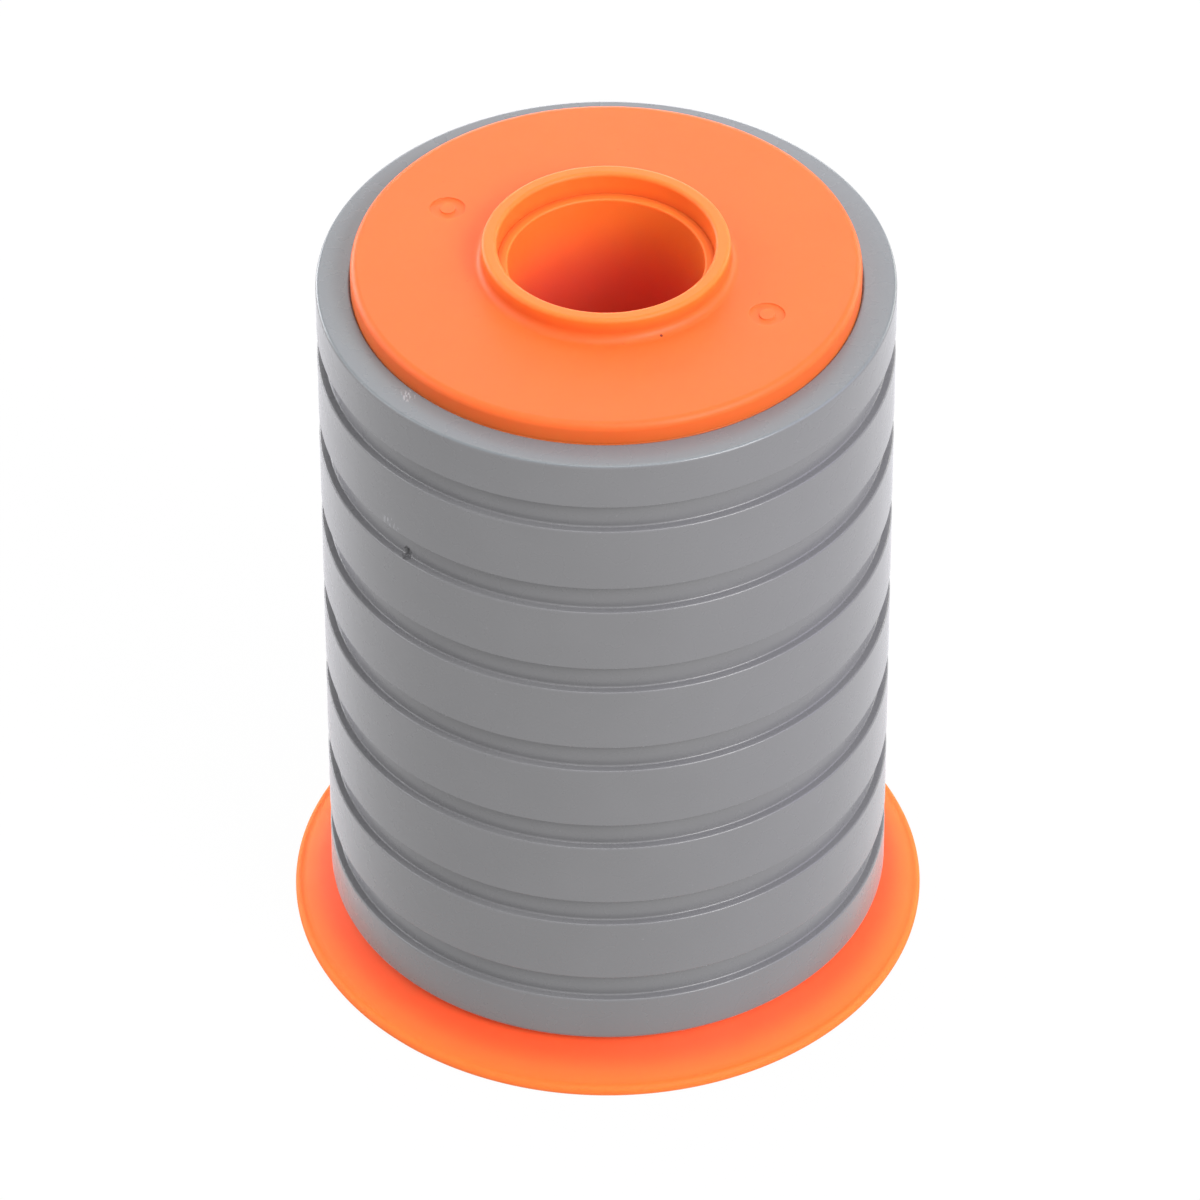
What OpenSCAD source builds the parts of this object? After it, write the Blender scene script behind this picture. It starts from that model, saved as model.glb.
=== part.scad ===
// Core hub: a flanged plastic drum with an end cap, a bore tube and a grooved rubber grip sleeve.
// The axis is Z. The origin is the centre of the flange's underside.

/* [Grip sleeve] */
// Outside diameter of the sleeve
sleeve_d = 75; // [72:0.5:90]
// Length of the sleeve along the axis
sleeve_l = 99.4; // [96:0.2:140]
// Number of grooves round the sleeve
groove_count = 7; // [1:1:7]
// Distance from the sleeve's upper end to the middle of the first groove
groove_start = 8.8; // [5:0.1:9]
// Distance from one groove to the next
groove_pitch = 13.6; // [8:0.1:13.6]
// Width of a groove along the axis
groove_w = 4.1; // [1:0.1:6]
// Depth of a groove
groove_depth = 1.1; // [0.4:0.1:2]
// Rounding of the sleeve's two outer edges
sleeve_edge_r = 0.6; // [0.2:0.1:1.5]

/* [Flanged drum] */
// Outside diameter of the drum and of the end cap
drum_d = 66; // [60:0.5:66.5]
// Thickness of the drum's wall
drum_wall = 2.5; // [1.6:0.1:4]
// Outside diameter of the flange
flange_d = 85; // [80:0.5:96]
// Thickness of the flange at its rim
rim_t = 1.6; // [1.2:0.1:3]
// Height of the shoulder that the sleeve stands on
shoulder_h = 6.1; // [5:0.1:10]
// Width of the ring that the flange rests on
rim_land = 2; // [1.4:0.1:3]
// Radius of the curve between the shoulder and the rim
flare_r = 12; // [10:0.5:30]
// Width of the shoulder outside the drum
shoulder_w = 3.4; // [1:0.1:4]
// Thickness of the floor inside the drum
floor_t = 2.4; // [1.6:0.1:4]
// Number of stiffening ribs under the floor
rib_count = 8; // [3:1:16]

/* [End cap] */
// How far the cap's disc stands above the sleeve
disc_t = 3; // [1.6:0.1:4]
// Outside diameter of the collar
collar_d = 32.1; // [31:0.1:40]
// Height of the collar above the disc
collar_h = 3.2; // [2:0.1:12]
// Depth of the spigot inside the drum
spigot_h = 8; // [4:0.5:20]
// Diameter of the ring round each gate mark
gate_d = 4.7; // [3:0.1:8]

/* [Bore tube] */
// Outside diameter of the tube, and diameter of the collar's opening
tube_d = 28.1; // [27.5:0.1:29]
// Diameter of the through bore
bore_d = 25.4; // [20:0.1:26]

/* [Hidden] */
$fn = 96;
eps = 0.01;
fit_gap = 0.08;                      // sleeve's running clearance on the drum, per side
drum_r = drum_d / 2;
drum_in_r = drum_r - drum_wall;
sleeve_r = sleeve_d / 2;
flange_r = flange_d / 2;
tube_r = tube_d / 2;
bore_r = bore_d / 2;
collar_r = collar_d / 2;
sleeve_top = shoulder_h + sleeve_l;  // the drum's top edge is level with the sleeve's
disc_top = sleeve_top + disc_t;
collar_top = disc_top + collar_h;
shoulder_r = drum_r + shoulder_w;
sleeve_in_r = drum_r + fit_gap;
rim_mid_r = flange_r - rim_t / 2;
skirt_r = flange_r - rim_land;       // inner edge of the ring that the flange rests on
// The flare runs from the shoulder's edge to the top of the rim, and its centre lies up and outside
flare_run = rim_mid_r - shoulder_r;
flare_drop = shoulder_h - rim_t;
flare_chord = norm([flare_run, flare_drop]);
flare_back = sqrt(flare_r * flare_r - flare_chord * flare_chord / 4) / flare_chord;
flare_mid = [shoulder_r + flare_run / 2 + flare_drop * flare_back,
             rim_t + flare_drop / 2 + flare_run * flare_back];
floor_z = shoulder_h - floor_t;
rib_t = 2;
socket_wall = 2;
socket_h = 14;                       // height of each socket that holds the tube
spigot_wall = 2;
edge_r = 1;                          // rounding of the cap's outer edge
collar_round = (collar_r - tube_r) / 2;
collar_fillet = 1.2;
gate_pcd = 46.5;
gate_angle = 152;
gate_recess = 0.25;
gate_nub_d = 1.8;
groove_foot_r = 0.35;                // fillet at the foot of a groove

// Ring of rectangular section between two radii and two heights
module ring(r_in, r_out, z_low, z_high)
    translate([0, 0, z_low])
    difference() {
        cylinder(r = r_out, h = z_high - z_low);
        translate([0, 0, -eps]) cylinder(r = r_in, h = z_high - z_low + 2 * eps);
    }

// Half section of the flange: a shoulder that sweeps down in a shallow curve to a rounded rim
module flange_section() {
    difference() {
        union() {
            translate([drum_in_r, 0]) square([rim_mid_r - drum_in_r, shoulder_h]);
            translate([rim_mid_r, rim_t / 2]) circle(d = rim_t);
        }
        translate(flare_mid) circle(r = flare_r);
        polygon([[drum_in_r - 1, -1], [skirt_r, -1], [skirt_r, 0], [skirt_r - floor_z, floor_z],
                 [drum_in_r - 1, floor_z]]);
    }
}

// Flange, drum wall, floor, ribs and the socket for the tube's lower end, in one moulding
module flanged_drum() color("darkorange") {
    rotate_extrude() flange_section();
    ring(drum_in_r, drum_r, floor_z, sleeve_top);
    ring(tube_r, drum_in_r + eps, floor_z, shoulder_h);
    ring(tube_r, tube_r + socket_wall, 0, shoulder_h + socket_h);
    for (i = [0 : rib_count - 1])
        rotate([0, 0, i * 360 / rib_count])
            translate([tube_r + socket_wall / 2, -rib_t / 2, 0])
                cube([skirt_r - floor_z - tube_r, rib_t, floor_z + eps]);
}

// Disc with a rounded outer edge, a collar with a fillet at its foot, a spigot and the upper socket
module end_cap() color("orange")
    difference() {
        union() {
            ring(tube_r, drum_r - edge_r, sleeve_top, disc_top);
            ring(tube_r, drum_r, sleeve_top, disc_top - edge_r);
            translate([0, 0, disc_top - edge_r])
                rotate_extrude() translate([drum_r - edge_r, 0]) circle(r = edge_r);
            ring(tube_r, collar_r, sleeve_top, collar_top - collar_round);
            translate([0, 0, collar_top - collar_round])
                rotate_extrude() translate([tube_r + collar_round, 0]) circle(r = collar_round);
            rotate_extrude() collar_foot();
            ring(drum_in_r - spigot_wall, drum_in_r, sleeve_top - spigot_h, sleeve_top);
            ring(tube_r, tube_r + socket_wall, sleeve_top - socket_h, sleeve_top);
        }
        for (side = [0, 180]) rotate([0, 0, gate_angle + side]) gate_mark();
    }

// Fillet between the collar and the disc
module collar_foot() {
    difference() {
        translate([collar_r - eps, disc_top - eps]) square(collar_fillet + eps);
        translate([collar_r + collar_fillet, disc_top + collar_fillet]) circle(r = collar_fillet);
    }
}

// Shallow round recess with a nub left in the middle, cut from the top of the disc
module gate_mark()
    translate([gate_pcd / 2, 0, disc_top - gate_recess]) difference() {
        cylinder(d = gate_d, h = 1);
        translate([0, 0, -eps]) cylinder(d = gate_nub_d, h = gate_recess);
    }

// Plain tube from the underside of the flange to the level of the disc
module bore_tube() color("orangered") ring(bore_r, tube_r, 0, disc_top);

// Half section of the sleeve, with rounded ends and a row of grooves
module sleeve_section() {
    difference() {
        translate([sleeve_in_r, shoulder_h]) square([sleeve_r - sleeve_in_r, sleeve_l]);
        for (i = [0 : groove_count - 1]) translate([sleeve_r, groove_z(i)]) groove_cut();
        for (end = [0, 1]) edge_cut(end);
    }
}

// Waste in one groove, square but for a small fillet at its foot
module groove_cut() {
    translate([-groove_depth, groove_foot_r - groove_w / 2])
        square([groove_depth + 1, groove_w - groove_foot_r]);
    translate([groove_foot_r - groove_depth, -groove_w / 2])
        square([groove_depth + 1 - groove_foot_r, groove_foot_r + eps]);
    translate([groove_foot_r - groove_depth, groove_foot_r - groove_w / 2]) circle(r = groove_foot_r);
}

// Height of the middle of groove i, counted down from the upper end
function groove_z(i) = sleeve_top - groove_start - i * groove_pitch;

// Waste outside the round on the sleeve's outer edge, at its lower (0) or upper (1) end
module edge_cut(end)
    translate([sleeve_r - sleeve_edge_r, shoulder_h + sleeve_edge_r + end * (sleeve_l - 2 * sleeve_edge_r)])
    difference() {
        translate([0, end ? 0 : -1 - sleeve_edge_r]) square([sleeve_edge_r + 1, sleeve_edge_r + 1]);
        circle(r = sleeve_edge_r);
    }

module grip_sleeve() color("gray") rotate_extrude() sleeve_section();

flanged_drum();
end_cap();
bore_tube();
grip_sleeve();
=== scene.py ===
"""Looks of a flanged core hub: an orange moulded drum, end cap and bore tube in a grooved grey grip sleeve.

Every piece is turned from a half section that a Geometry Nodes tree sweeps round the axis.
"""
import math

import bmesh
import bpy
from mathutils import Matrix, Vector


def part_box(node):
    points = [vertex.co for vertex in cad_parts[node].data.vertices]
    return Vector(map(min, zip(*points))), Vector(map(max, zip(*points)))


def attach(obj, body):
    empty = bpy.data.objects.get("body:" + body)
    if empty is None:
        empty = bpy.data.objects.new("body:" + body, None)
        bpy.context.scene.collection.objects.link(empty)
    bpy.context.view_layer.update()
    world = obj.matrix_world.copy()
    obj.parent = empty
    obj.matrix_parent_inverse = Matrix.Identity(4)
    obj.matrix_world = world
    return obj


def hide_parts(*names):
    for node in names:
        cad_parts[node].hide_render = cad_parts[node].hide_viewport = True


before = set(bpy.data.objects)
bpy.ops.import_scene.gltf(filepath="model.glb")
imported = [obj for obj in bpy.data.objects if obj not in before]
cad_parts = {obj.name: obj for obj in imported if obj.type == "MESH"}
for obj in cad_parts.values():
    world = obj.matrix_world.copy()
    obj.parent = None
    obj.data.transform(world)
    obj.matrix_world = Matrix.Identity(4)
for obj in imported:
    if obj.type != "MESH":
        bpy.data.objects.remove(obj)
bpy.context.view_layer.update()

MM = 0.001


# ---------------------------------------------------------------- node trees

class Value:
    """An output socket that does arithmetic: each operator adds a Math node."""

    def __init__(self, tree, socket):
        self.tree = tree
        self.socket = socket

    def math(self, operation, first, second):
        return self.tree.add("ShaderNodeMath", {"operation": operation}, {0: first, 1: second})

    def __add__(self, other):
        return self.math("ADD", self, other)

    def __radd__(self, other):
        return self.math("ADD", other, self)

    def __sub__(self, other):
        return self.math("SUBTRACT", self, other)

    def __rsub__(self, other):
        return self.math("SUBTRACT", other, self)

    def __mul__(self, other):
        return self.math("MULTIPLY", self, other)

    def __rmul__(self, other):
        return self.math("MULTIPLY", other, self)

    def __truediv__(self, other):
        return self.math("DIVIDE", self, other)

    def __rtruediv__(self, other):
        return self.math("DIVIDE", other, self)

    def above(self, edge, width):
        """0 below the edge, 1 past it, with a soft step of the given width."""
        settings = {"interpolation_type": "SMOOTHSTEP"}
        return self.tree.add("ShaderNodeMapRange", settings, {0: self, 1: edge, 2: edge + width})

    def below(self, edge, width):
        return 1 - self.above(edge, width)


class Tree:
    """A node tree whose nodes all come from add(), which can link a list of values to one socket."""

    def __init__(self, nodes):
        self.nodes = nodes
        nodes.nodes.clear()

    def add(self, kind, settings=None, inputs=None, output=0):
        node = self.nodes.nodes.new(kind)
        for name, value in (settings or {}).items():
            setattr(node, name, value)
        for name, value in (inputs or {}).items():
            several = value if isinstance(value, list) else [value]
            for one in several:
                if isinstance(one, Value):
                    self.nodes.links.new(one.socket, node.inputs[name])
                else:
                    node.inputs[name].default_value = one
        return Value(self, node.outputs[output]) if node.outputs else node


# ---------------------------------------------------------------- materials

ORANGE = (0.70, 0.127, 0.022, 1)
ORANGE_DEEP = (0.69, 0.113, 0.020, 1)
ORANGE_ROOT_SHADE_AND_FLECKS = (0.74, 0.073, 0.014, 1)  # painted shade where the flange meets the sleeve; also the colour of the flecks
ORANGE_PAINTED_LIGHT = (0.80, 0.166, 0.025, 1)  # painted light: paler orange for light through the thin rim and light on the collar and the bore
ORANGE_BORE_SHADE = (0.78, 0.088, 0.048, 1)  # painted shade, deep in the bore
SPECK = (0.16, 0.02, 0.008, 1)
GREY = (0.152, 0.151, 0.156, 1)
GREY_PALE = (0.168, 0.167, 0.173, 1)
GREY_TOP_LIGHT = (0.162, 0.176, 0.186, 1)    # painted light on the sleeve's up-facing upper end
GREY_SCUFFED = (0.36, 0.36, 0.38, 1)


def new_material(name):
    material = bpy.data.materials.new(name)
    material.use_nodes = True
    return material, Tree(material.node_tree)


def place(tree, stretch=(1, 1, 1)):
    """Object coordinates in millimetres, stretched along each axis."""
    coords = tree.add("ShaderNodeTexCoord", output="Object")
    scale = tuple(1000 * s for s in stretch)
    return tree.add("ShaderNodeMapping", {}, {"Vector": coords, "Scale": scale})


def grain(tree, size, detail=2.0, stretch=(1, 1, 1)):
    """Noise whose features are about size millimetres across."""
    inputs = {"Vector": place(tree, stretch), "Scale": 1 / size, "Detail": detail}
    return tree.add("ShaderNodeTexNoise", {}, inputs, output="Fac")


def blend(tree, factor, first, second):
    inputs = {0: factor, 6: first, 7: second}
    return tree.add("ShaderNodeMix", {"data_type": "RGBA"}, inputs, output=2)


def bump(tree, height, depth, under=None):
    """Relief of the given depth in millimetres, on top of another relief."""
    inputs = {"Height": height, "Distance": depth * MM, "Strength": 1.0}
    if under:
        inputs["Normal"] = under
    return tree.add("ShaderNodeBump", {}, inputs)


def near(tree, spot, reach):
    """1 within reach millimetres of a spot, fading to 0 at twice the reach."""
    inputs = {0: place(tree), 1: spot}
    away = tree.add("ShaderNodeVectorMath", {"operation": "DISTANCE"}, inputs, output="Value")
    return away.below(reach, reach)


def from_axis(tree):
    """Distance from the axis, in millimetres."""
    flat = tree.add("ShaderNodeVectorMath", {"operation": "MULTIPLY"}, {0: place(tree), 1: (1, 1, 0)})
    return tree.add("ShaderNodeVectorMath", {"operation": "LENGTH"}, {0: flat}, output="Value")


def above_floor(tree):
    """Height above the flange's underside, in millimetres."""
    return tree.add("ShaderNodeSeparateXYZ", {}, {0: place(tree)}, output="Z")


def moulded_plastic():
    """Satin orange moulding: painted light, paler, on the flange's rim, the collar and the bore; painted
    shade, redder, at the flange's root and deep in the bore.
    """
    material, tree = new_material("moulded_orange")
    radius, height = from_axis(tree), above_floor(tree)
    flow = grain(tree, 14, 3)
    colour = blend(tree, flow, ORANGE, ORANGE_DEEP)
    flange = height.below(sleeve_low + 3, 1)
    # painted shade: the flange turns deeper red close to the sleeve
    root = flange * radius.below(sleeve_r + 0.2, 2.6)
    # painted light on the flange's thin outer rim
    rim = flange * radius.above(sleeve_r + 1.6, 3.6)
    # painted light on the collar's top
    inside_collar = radius.below(tube_r + 0.8, 0.8)
    collar = (height + inside_collar * 1.5).above(tube_high + 1.2, 1.8)
    # painted light on the bore's wall
    bore = radius.below(BORE_R + 0.6, 0.4)
    # painted shade, deepening down the bore
    bore_shade = bore * height.below(tube_high - 15, 14)
    flecks = grain(tree, 0.9, 1).above(0.79, 0.02)
    colour = blend(tree, root, colour, ORANGE_ROOT_SHADE_AND_FLECKS)
    colour = blend(tree, rim, colour, ORANGE_PAINTED_LIGHT)
    colour = blend(tree, collar, colour, ORANGE_PAINTED_LIGHT)
    colour = blend(tree, bore, colour, ORANGE_PAINTED_LIGHT)
    colour = blend(tree, bore_shade, colour, ORANGE_BORE_SHADE)
    colour = blend(tree, flecks * 0.35, colour, ORANGE_ROOT_SHADE_AND_FLECKS)
    for spot, reach in SPECKS:
        colour = blend(tree, near(tree, spot, reach), colour, SPECK)
    skin = bump(tree, grain(tree, 0.22, 2), 0.006)
    skin = bump(tree, grain(tree, 3.5, 2), 0.02, skin)
    inputs = {
        "Base Color": colour,
        "Roughness": 0.42 + grain(tree, 5, 4) * 0.10 + flange * 0.2,
        "Normal": skin,
        "IOR": 1.49,
        "Specular IOR Level": 0.26,
        "Subsurface Weight": 0.35,
        "Subsurface Radius": (1.0, 0.32, 0.10),
        "Subsurface Scale": 0.0025,
    }
    shader = tree.add("ShaderNodeBsdfPrincipled", {}, inputs)
    tree.add("ShaderNodeOutputMaterial", {}, {"Surface": shader})
    return material


def turned_rubber():
    """Satin grey rubber with faint turning marks, a fine grain, dust, pale scuffs from knocks, and painted
    light on its upper end.
    """
    material, tree = new_material("turned_rubber")
    mottle = grain(tree, 9, 4)
    dust = grain(tree, 0.5, 2).above(0.74, 0.05)
    # painted light: the up-facing upper end is made paler and cooler
    top_light = above_floor(tree).above(sleeve_high - 0.3, 0.2)
    colour = blend(tree, mottle, GREY, GREY_PALE)
    colour = blend(tree, top_light, colour, GREY_TOP_LIGHT)
    colour = blend(tree, dust * 0.30, colour, GREY_SCUFFED)
    scratches = 0
    for spot, reach, stretch in SCUFFS:
        strokes = grain(tree, 0.35, 2, stretch).above(0.52, 0.10)
        scratches = strokes * near(tree, spot, reach) + scratches
    colour = blend(tree, scratches * 0.75, colour, GREY_SCUFFED)
    marks = grain(tree, 0.25, 2, (0.02, 0.02, 1))
    skin = bump(tree, marks, 0.006)
    skin = bump(tree, grain(tree, 0.3, 3), 0.008, skin)
    skin = bump(tree, scratches, 0.05, skin)
    inputs = {
        "Base Color": colour,
        "Roughness": 0.23 + grain(tree, 4, 4) * 0.09 + scratches * 0.2,
        "Normal": skin,
        "IOR": 1.5,
        "Specular IOR Level": 0.5,
        "Sheen Weight": 0.5,
        "Sheen Roughness": 0.3,
        "Sheen Tint": (0.92, 0.92, 1.0, 1),
    }
    shader = tree.add("ShaderNodeBsdfPrincipled", {}, inputs)
    tree.add("ShaderNodeOutputMaterial", {}, {"Surface": shader})
    return material


def studio_paper():
    """Plain white floor, lit from within so that it stays evenly white round the object."""
    material, tree = new_material("studio_paper")
    inputs = {"Base Color": (0.02, 0.02, 0.02, 1), "Roughness": 1.0, "Emission Color": (1, 1, 1, 1),
              "Emission Strength": 0.97, "Specular IOR Level": 0.0}
    shader = tree.add("ShaderNodeBsdfPrincipled", {}, inputs)
    tree.add("ShaderNodeOutputMaterial", {}, {"Surface": shader})
    return material


# ---------------------------------------------------------------- half sections

HOLD = 0.06    # a point this far past each rounded corner keeps the flats flat when shaded smooth
ARC_STEP = 15  # degrees of arc between the points of a rounded corner


def rounded(corners):
    """Closed half section in mm through (radius, height, rounding) corners, rounded by arcs."""
    points = []
    count = len(corners)
    for i in range(count):
        here = Vector(corners[i][:2])
        rounding = corners[i][2]
        if rounding == 0:
            points.append(tuple(here))
            continue
        before = (Vector(corners[i - 1][:2]) - here).normalized()
        after = (Vector(corners[(i + 1) % count][:2]) - here).normalized()
        half = before.angle(after) / 2
        reach = rounding / math.tan(half)
        middle = here + (before + after).normalized() * (rounding / math.sin(half))
        start = here + before * reach - middle
        turn = start.angle_signed(here + after * reach - middle)
        steps = max(2, round(abs(math.degrees(turn)) / ARC_STEP))
        points.append(tuple(here + before * (reach + HOLD)))
        for k in range(steps + 1):
            arm = start.copy()
            arm.rotate(Matrix.Rotation(-turn * k / steps, 2))
            points.append(tuple(middle + arm))
        points.append(tuple(here + after * (reach + HOLD)))
    return points


# ---------------------------------------------------------------- turned pieces

AXIS_GAP = 0.5 * MM  # radius of the small circle that every half section is swept along
SHARP_ANGLE = 38     # degrees; a steeper edge than this is shaded sharp


def curve_of(name, points):
    """Closed poly curve of a half section, laid out the way the sweep reads it."""
    curve = bpy.data.curves.new(name + "_section", "CURVE")
    curve.dimensions = "3D"
    spline = curve.splines.new("POLY")
    spline.points.add(len(points) - 1)
    for point, (radius, height) in zip(spline.points, points):
        point.co = (radius * MM - AXIS_GAP, -height * MM, 0, 1)
    spline.use_cyclic_u = True
    return bpy.data.objects.new(name, curve)


class Sweep(Tree):
    """Geometry tree that sweeps the piece's half section round the axis, with named inputs for its sizes."""

    def __init__(self, name):
        super().__init__(bpy.data.node_groups.new(name, "GeometryNodeTree"))
        self.sizes = {}
        self.named("Section", "NodeSocketGeometry")
        self.named("Segments", "NodeSocketInt", 320)
        self.nodes.interface.new_socket("Piece", in_out="OUTPUT", socket_type="NodeSocketGeometry")
        circle = self.add("GeometryNodeCurvePrimitiveCircle", {},
                          {"Resolution": self.read("Segments"), "Radius": AXIS_GAP}, output="Curve")
        upright = self.add("GeometryNodeSetCurveNormal", {"mode": "Z_UP"}, {"Curve": circle})
        self.solid = self.add("GeometryNodeCurveToMesh", {},
                              {"Curve": upright, "Profile Curve": self.read("Section")})

    def named(self, name, kind, value=None):
        """Adds a named input, and remembers its identifier and its value."""
        socket = self.nodes.interface.new_socket(name, in_out="INPUT", socket_type=kind)
        if value is not None:
            self.sizes[socket.identifier] = value

    def read(self, name):
        return self.add("NodeGroupInput", output=name)

    def round_the_axis(self, shape, count_name, start=0.0):
        """Copies of a shape, turned evenly round the axis."""
        count = self.read(count_name)
        points = self.add("GeometryNodeMeshLine", {}, {"Count": count, "Offset": (0, 0, 0)})
        angle = self.add("GeometryNodeInputIndex") * math.tau / count + start
        turn = self.add("ShaderNodeCombineXYZ", {}, {"Z": angle})
        inputs = {"Points": points, "Instance": shape, "Rotation": turn}
        copies = self.add("GeometryNodeInstanceOnPoints", {}, inputs)
        return self.add("GeometryNodeRealizeInstances", {}, {"Geometry": copies})

    def bar(self, path, width, height, corner, caps=True):
        """Mesh of a rounded rectangle swept along a path."""
        inputs = {"Width": width, "Height": height}
        outline = self.add("GeometryNodeCurvePrimitiveQuadrilateral", {}, inputs)
        inputs = {"Curve": outline, "Count": 4, "Radius": corner}
        soft = self.add("GeometryNodeFilletCurve", {"mode": "POLY"}, inputs)
        inputs = {"Curve": path, "Profile Curve": soft, "Fill Caps": caps}
        return self.add("GeometryNodeCurveToMesh", {}, inputs)

    def shift(self, shape, offset):
        return self.add("GeometryNodeTransform", {}, {"Geometry": shape, "Translation": offset})

    def join(self, shape):
        """Joins another shape to the solid."""
        self.solid = self.add("GeometryNodeJoinGeometry", {}, {0: [self.solid, shape]})

    def cut(self, shape):
        """Cuts another shape out of the solid."""
        self.solid = self.add("GeometryNodeMeshBoolean", {"operation": "DIFFERENCE", "solver": "EXACT"},
                              {"Mesh 1": self.solid, "Mesh 2": shape}, output="Mesh")

    def finish(self, material):
        whole = self.add("GeometryNodeRealizeInstances", {}, {"Geometry": self.solid})
        coated = self.add("GeometryNodeSetMaterial", {}, {"Geometry": whole, "Material": material})
        self.add("NodeGroupOutput", {}, {"Piece": coated})


def make_piece(name, corners, tree, material):
    """Runs the tree on the half section and returns the plain mesh object that it makes."""
    source = curve_of(name + "_source", rounded(corners))
    bpy.context.scene.collection.objects.link(source)
    tree.finish(material)
    modifier = source.modifiers.new("sweep", "NODES")
    modifier.node_group = tree.nodes
    for identifier, value in tree.sizes.items():
        modifier[identifier] = value
    graph = bpy.context.evaluated_depsgraph_get()
    mesh = bpy.data.meshes.new_from_object(source.evaluated_get(graph), depsgraph=graph)
    mesh.name = name
    bpy.data.objects.remove(source)
    piece = bpy.data.objects.new(name, mesh)
    bpy.context.scene.collection.objects.link(piece)
    work = bmesh.new()
    work.from_mesh(mesh)
    bmesh.ops.remove_doubles(work, verts=work.verts, dist=0.001 * MM)
    bmesh.ops.recalc_face_normals(work, faces=work.faces)
    work.to_mesh(mesh)
    work.free()
    mesh.shade_smooth()
    mesh.set_sharp_from_angle(angle=math.radians(SHARP_ANGLE))
    return piece


# ---------------------------------------------------------------- sizes, in mm

def size_of(node):
    """Lowest height, highest height and outer radius of a node in the frame, in mm."""
    low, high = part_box(node)
    return low[2] / MM, high[2] / MM, (high[0] - low[0]) / 2 / MM


sleeve_low, sleeve_high, sleeve_r = size_of("grip_sleeve")
_, cap_high, cap_r = size_of("end_cap")
tube_low, tube_high, tube_r = size_of("bore_tube")
_, drum_high, flange_r = size_of("flanged_drum")

# Sizes that a node's box doesn't show, the same as in the design
FIT_GAP = 0.08      # between the sleeve and the drum, per side
DRUM_WALL = 2.5
BORE_R = 12.7
COLLAR_R = 16.05
FLARE_R = 12.0      # the curve between the shoulder and the rim
FLARE_STEPS = 8
SHOULDER_OUT = 3.4  # how far the shoulder stands out from the drum
RIM_T = 1.6
FLOOR_T = 2.4
SOCKET_WALL = 2.0
SOCKET_H = 14.0
SPIGOT_H = 8.0
RIM_LAND = 2.0      # width of the ring that the flange rests on
RIB_REACH = 0.8     # how far a rib runs on into the flange
RIB_LIFT = 0.15     # how far a rib reaches up into the floor
GROOVES = 7
PITCH = 13.6        # from one groove to the next
FIRST_GROOVE = 8.8  # from the sleeve's upper end to the middle of the first groove
GROOVE_W = 4.1
GROOVE_D = 1.1
GATE_R = 23.25      # from the axis to a gate mark
GATE_TURN = math.radians(152)


def on_sleeve(turn, height, depth=0.0):
    """Point at a depth below the sleeve's surface, turned in degrees from the front towards the left."""
    turn = math.radians(turn)
    radius = sleeve_r - depth
    return -radius * math.sin(turn), -radius * math.cos(turn), height


# Small marks of use. The nick is a piece torn from the ledge of the second groove.
SECOND_GROOVE_TOP = sleeve_high - FIRST_GROOVE - PITCH + GROOVE_W / 2
NICK = on_sleeve(44.6, SECOND_GROOVE_TOP - GROOVE_W + 0.45, GROOVE_D - 0.35)
SPECKS = [((7.0, -15.25, tube_high + 0.1), 0.13), ((-13.5, -38.1, 2.5), 0.12)]
SCUFFS = [
    (on_sleeve(48.0, SECOND_GROOVE_TOP + 1.1), 0.75, (1, 1, 0.25)),
    (on_sleeve(45.5, SECOND_GROOVE_TOP + 0.2), 0.45, (1, 1, 0.5)),
    ((-25.2, -23.4, sleeve_high), 0.7, (1, 0.4, 1)),
]


def groove_corners(middle):
    """One square groove, from its lower edge up: a worn edge, a small fillet, and a crisp upper edge."""
    low, high = middle - GROOVE_W / 2, middle + GROOVE_W / 2
    floor_r = sleeve_r - GROOVE_D
    return [
        (sleeve_r, low, 0.24), (floor_r, low + 0.05, 0.24),
        (floor_r, high, 0.15), (sleeve_r, high, 0.10),
    ]


def sleeve_corners():
    """The sleeve's half section, with its row of grooves."""
    inside = cap_r + FIT_GAP
    corners = [(inside, sleeve_low, 0.25), (sleeve_r, sleeve_low, 0.45)]
    for i in reversed(range(GROOVES)):
        corners += groove_corners(sleeve_high - FIRST_GROOVE - i * PITCH)
    return corners + [(sleeve_r, sleeve_high, 0.45), (inside, sleeve_high, 0.25)]


def cap_corners():
    """The cap's half section: the socket, the spigot, the disc and the collar."""
    disc_top = tube_high
    inner = cap_r - DRUM_WALL
    seat = tube_r + SOCKET_WALL
    low = sleeve_high - SOCKET_H
    spigot_low = sleeve_high - SPIGOT_H
    lip = 0.55
    return [
        (tube_r, low, 0.2), (seat, low, 0.2), (seat, sleeve_high, 0.5),
        (inner - SOCKET_WALL, sleeve_high, 0.5), (inner - SOCKET_WALL, spigot_low, 0.3),
        (inner, spigot_low, 0.6), (inner, sleeve_high, 0.1),
        (cap_r, sleeve_high, 0.1), (cap_r, disc_top, 1.0),
        (COLLAR_R, disc_top, 1.2), (COLLAR_R, cap_high, lip), (tube_r, cap_high, lip),
    ]


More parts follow.
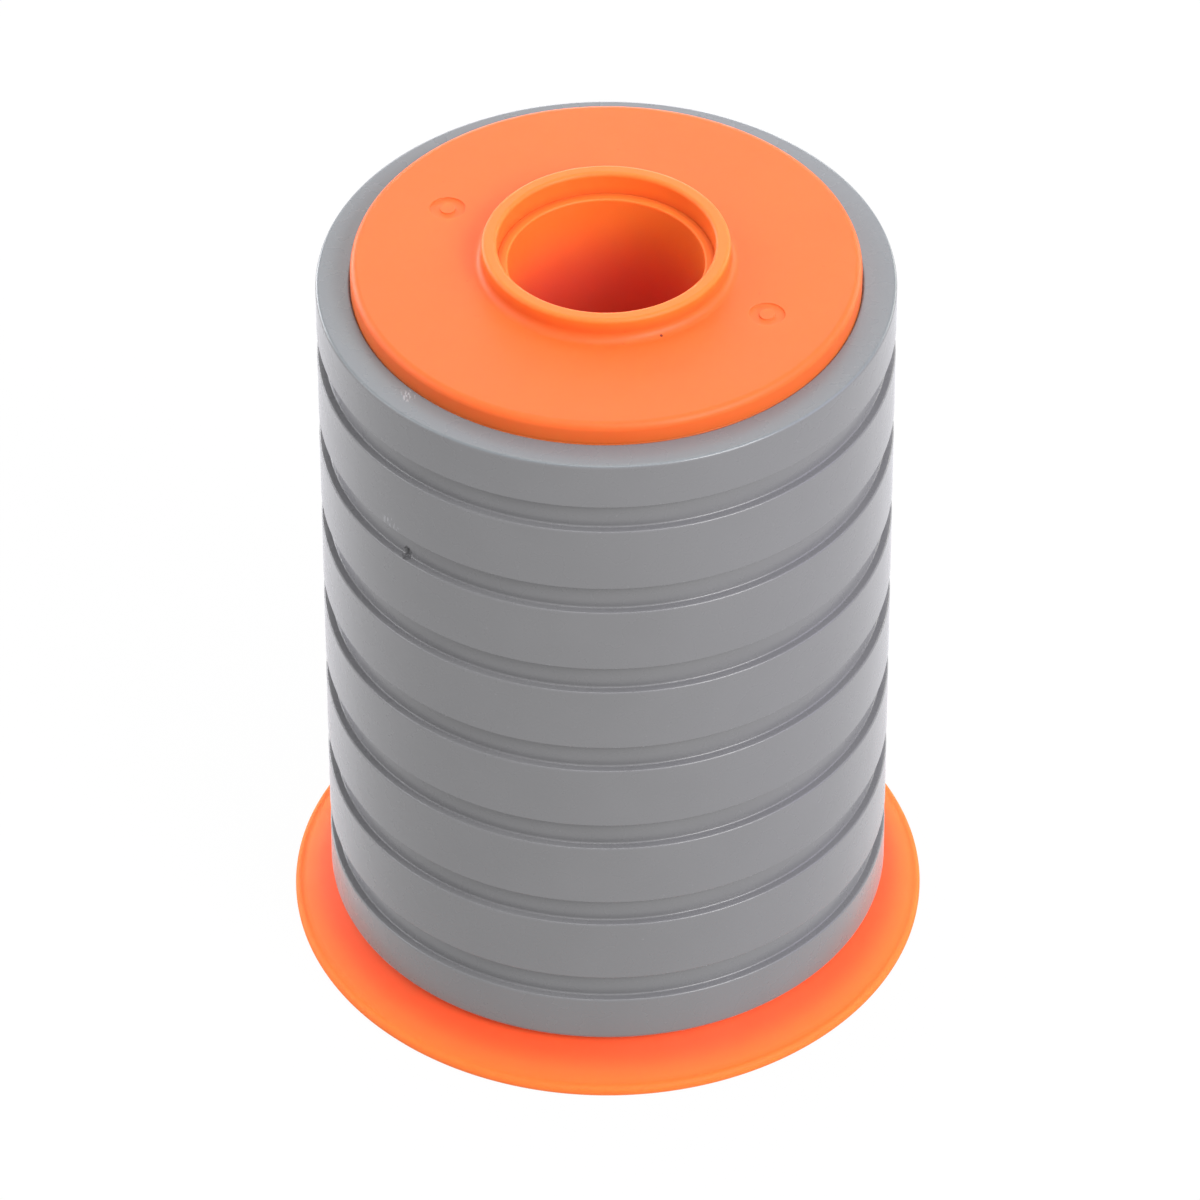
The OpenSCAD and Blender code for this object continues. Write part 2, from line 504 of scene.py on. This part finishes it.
def drum_corners():
    """The drum's half section: the floor, the flange with its flare, the wall and the socket."""
    shoulder_r = cap_r + SHOULDER_OUT
    rim_r = flange_r - RIM_T / 2
    inner = cap_r - DRUM_WALL
    floor_low = sleeve_low - FLOOR_T
    skirt_r = flange_r - RIM_LAND
    run = rim_r - shoulder_r
    drop = sleeve_low - RIM_T
    chord = math.hypot(run, drop)
    back = math.sqrt(FLARE_R ** 2 - chord ** 2 / 4) / chord
    flare_r = shoulder_r + run / 2 + drop * back
    flare_z = RIM_T + drop / 2 + run * back
    start = math.atan2(RIM_T - flare_z, rim_r - flare_r)
    end = math.atan2(sleeve_low - flare_z, shoulder_r - flare_r)
    if end > 0:
        end -= math.tau
    flare = []
    for k in range(1, FLARE_STEPS + 1):
        angle = start + (end - start) * k / FLARE_STEPS
        flare.append((flare_r + FLARE_R * math.cos(angle), flare_z + FLARE_R * math.sin(angle), 0))
    flare[-1] = flare[-1][:2] + (0.35,)
    return [
        (tube_r, 0, 0.2), (tube_r + SOCKET_WALL, 0, 0.3), (tube_r + SOCKET_WALL, floor_low, 0.6),
        (skirt_r - floor_low, floor_low, 0.8), (skirt_r, 0, 0.2), (flange_r, 0, RIM_T * 0.45),
        (flange_r, RIM_T, RIM_T * 0.45), (rim_r - 0.3, RIM_T, 0),
        *flare, (cap_r, sleeve_low, 0.4), (cap_r, drum_high, 0.15), (inner, drum_high, 0.3),
        (inner, sleeve_low, 0.8), (tube_r + SOCKET_WALL, sleeve_low, 0.8),
        (tube_r + SOCKET_WALL, sleeve_low + SOCKET_H, 0.3), (tube_r, sleeve_low + SOCKET_H, 0.3),
    ]


# ---------------------------------------------------------------- the pieces

orange = moulded_plastic()
grey = turned_rubber()


def make_sleeve():
    """The sleeve, with the nick cut out by a ragged pebble."""
    tree = Sweep("turned_sleeve")
    tree.named("Nick radius", "NodeSocketFloat", 0.85 * MM)
    tree.named("Nick seed", "NodeSocketFloat", 4.0)
    tree.named("Nick raggedness", "NodeSocketFloat", 1.1 * MM)
    tree.named("Nick waves per metre", "NodeSocketFloat", 1100.0)
    inputs = {"Radius": tree.read("Nick radius"), "Subdivisions": 4}
    pebble = tree.add("GeometryNodeMeshIcoSphere", {}, inputs)
    inputs = {"W": tree.read("Nick seed"), "Scale": tree.read("Nick waves per metre"), "Detail": 0.0}
    spread = tree.add("ShaderNodeTexNoise", {"noise_dimensions": "4D"}, inputs, output="Color")
    shift = tree.add("ShaderNodeVectorMath", {"operation": "SUBTRACT"}, {0: spread, 1: (0.5, 0.5, 0.5)})
    inputs = {0: shift, "Scale": tree.read("Nick raggedness")}
    shift = tree.add("ShaderNodeVectorMath", {"operation": "SCALE"}, inputs)
    ragged = tree.add("GeometryNodeSetPosition", {}, {"Geometry": pebble, "Offset": shift})
    tree.cut(tree.shift(ragged, tuple(v * MM for v in NICK)))
    return make_piece("sleeve_body", sleeve_corners(), tree, grey)


def make_tube():
    """The plain tube, from the flange's underside to the level of the disc."""
    corners = [
        (BORE_R, tube_low, 0.3), (tube_r, tube_low, 0.2),
        (tube_r, tube_high, 0.12), (BORE_R, tube_high, 0.3),
    ]
    return make_piece("tube_body", corners, Sweep("turned_tube"), orange)


def make_cap():
    """The cap, with two round gate marks sunk into its disc: a ring-shaped recess round a small nub."""
    tree = Sweep("turned_cap")
    tree.named("Gate marks", "NodeSocketInt", 2)
    tree.named("Ring radius", "NodeSocketFloat", 1.65 * MM)
    tree.named("Ring width", "NodeSocketFloat", 1.4 * MM)
    tree.named("Depth", "NodeSocketFloat", 0.22 * MM)
    inputs = {"Resolution": 64, "Radius": tree.read("Ring radius")}
    path = tree.add("GeometryNodeCurvePrimitiveCircle", {}, inputs, output="Curve")
    ring = tree.bar(path, tree.read("Ring width"), tree.read("Depth") * 2, 0.15 * MM, caps=False)
    moved = tree.shift(ring, (GATE_R * MM, 0, tube_high * MM))
    tree.cut(tree.round_the_axis(moved, "Gate marks", GATE_TURN))
    return make_piece("cap_body", cap_corners(), tree, orange)


def make_drum():
    """The drum, with stiffening ribs across the hollow under its floor."""
    tree = Sweep("turned_drum")
    tree.named("Ribs", "NodeSocketInt", 8)
    tree.named("Rib width", "NodeSocketFloat", 2 * MM)
    height = sleeve_low - FLOOR_T
    start = (tube_r + SOCKET_WALL / 2) * MM
    end = (flange_r - RIM_LAND - height + RIB_REACH) * MM
    middle = (height / 2 + RIB_LIFT) * MM
    inputs = {"Start": (start, 0, middle), "End": (end, 0, middle)}
    line = tree.add("GeometryNodeCurvePrimitiveLine", {}, inputs)
    upright = tree.add("GeometryNodeSetCurveNormal", {"mode": "Z_UP"}, {"Curve": line})
    rib = tree.bar(upright, tree.read("Rib width"), height * MM, 0.35 * MM)
    tree.join(tree.round_the_axis(rib, "Ribs"))
    return make_piece("drum_body", drum_corners(), tree, orange)


PIECES = {
    "grip_sleeve": (make_sleeve, "sleeve", "sleeve_rubber"),
    "bore_tube": (make_tube, "hub", "tube_plastic"),
    "end_cap": (make_cap, "hub", "cap_plastic"),
    "flanged_drum": (make_drum, "hub", "drum_plastic"),
}
for node, (make, body, slot) in PIECES.items():
    made = make()
    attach(made, body)
    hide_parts(node)


# ---------------------------------------------------------------- studio

def make_floor():
    """Square floor, large enough to fill every view."""
    mesh = bpy.data.meshes.new("studio_floor")
    half = 4.0
    corners = [(-half, -half, 0), (half, -half, 0), (half, half, 0), (-half, half, 0)]
    mesh.from_pydata(corners, [], [(0, 1, 2, 3)])
    mesh.materials.append(studio_paper())
    floor = bpy.data.objects.new("studio_floor", mesh)
    bpy.context.scene.collection.objects.link(floor)


COOL = (0.96, 0.96, 1.0)
WHITE = (1.0, 1.0, 1.0)

# Each softbox: turn from the front towards the right in degrees, height in degrees, power in watts, tint
SOFTBOXES = {
    "key_front_right": (45, 36, 14.5, WHITE),
    "high_front": (0, 72, 4.5, (0.97, 0.97, 1.0)),
    "side_right": (90, 36, 3.0, (0.60, 0.55, 1.0)),
    "side_left": (270, 36, 3.3, COOL),
    "high_back": (180, 65, 2.7, (1.0, 0.90, 0.75)),
    "back": (180, 36, 1.2, COOL),
    "low_left": (270, 12, 2.0, WHITE),
    "low_back_left": (225, 12, 9.4, COOL),
    "low_back": (180, 12, 4.9, COOL),
    "low_back_right": (135, 12, 4.6, (1.0, 1.0, 0.9)),
}
SOFTBOX_AWAY = 1.2  # metres from the object
SOFTBOX_SIZE = 0.6  # metres along each side
HUB_MIDDLE = Vector((0, 0, 0.05))
SURROUND_STRENGTH = 0.5


def softbox(name, turn, height, power, colour):
    """Square light aimed at the middle of the object."""
    light = bpy.data.lights.new(name, "AREA")
    light.shape = "SQUARE"
    light.size = SOFTBOX_SIZE
    light.energy = power
    light.color = colour
    turn, height = math.radians(turn), math.radians(height)
    flat = math.cos(height) * SOFTBOX_AWAY
    towards = Vector((math.sin(turn) * flat, -math.cos(turn) * flat, math.sin(height) * SOFTBOX_AWAY))
    lamp = bpy.data.objects.new(name, light)
    bpy.context.scene.collection.objects.link(lamp)
    lamp.location = HUB_MIDDLE + towards
    lamp.rotation_euler = (-towards).to_track_quat("-Z", "Y").to_euler()


def make_surround():
    """Even white light from all round."""
    world = bpy.data.worlds.new("studio_surround")
    world.use_nodes = True
    tree = Tree(world.node_tree)
    light = tree.add("ShaderNodeBackground", {}, {"Color": (1, 1, 1, 1), "Strength": SURROUND_STRENGTH})
    tree.add("ShaderNodeOutputWorld", {}, {"Surface": light})
    bpy.context.scene.world = world


def make_camera():
    """Long lens, looking down at the hub from the front."""
    elevation = math.radians(39.05)
    distance = 1.1834
    eye = Vector((0, -distance * math.cos(elevation), sleeve_high * MM + distance * math.sin(elevation)))
    aim = Vector((-0.00094, 0, 0.0507))
    ahead = (aim - eye).normalized()
    right = ahead.cross(Vector((0, 0, 1))).normalized()
    up = right.cross(ahead)
    lean = Matrix.Rotation(math.radians(-0.19), 3, -ahead)
    right, up = lean @ right, lean @ up
    camera = bpy.data.cameras.new("camera")
    camera.sensor_width = 36
    camera.lens = 275.4
    camera.clip_end = 20
    mount = bpy.data.objects.new("camera", camera)
    bpy.context.scene.collection.objects.link(mount)
    axes = Matrix((right, up, -ahead)).transposed()
    mount.matrix_world = Matrix.Translation(eye) @ axes.to_4x4()
    bpy.context.scene.camera = mount


make_floor()
make_surround()
make_camera()
for name, settings in SOFTBOXES.items():
    softbox(name, *settings)
bpy.context.scene.view_settings.view_transform = "Standard"
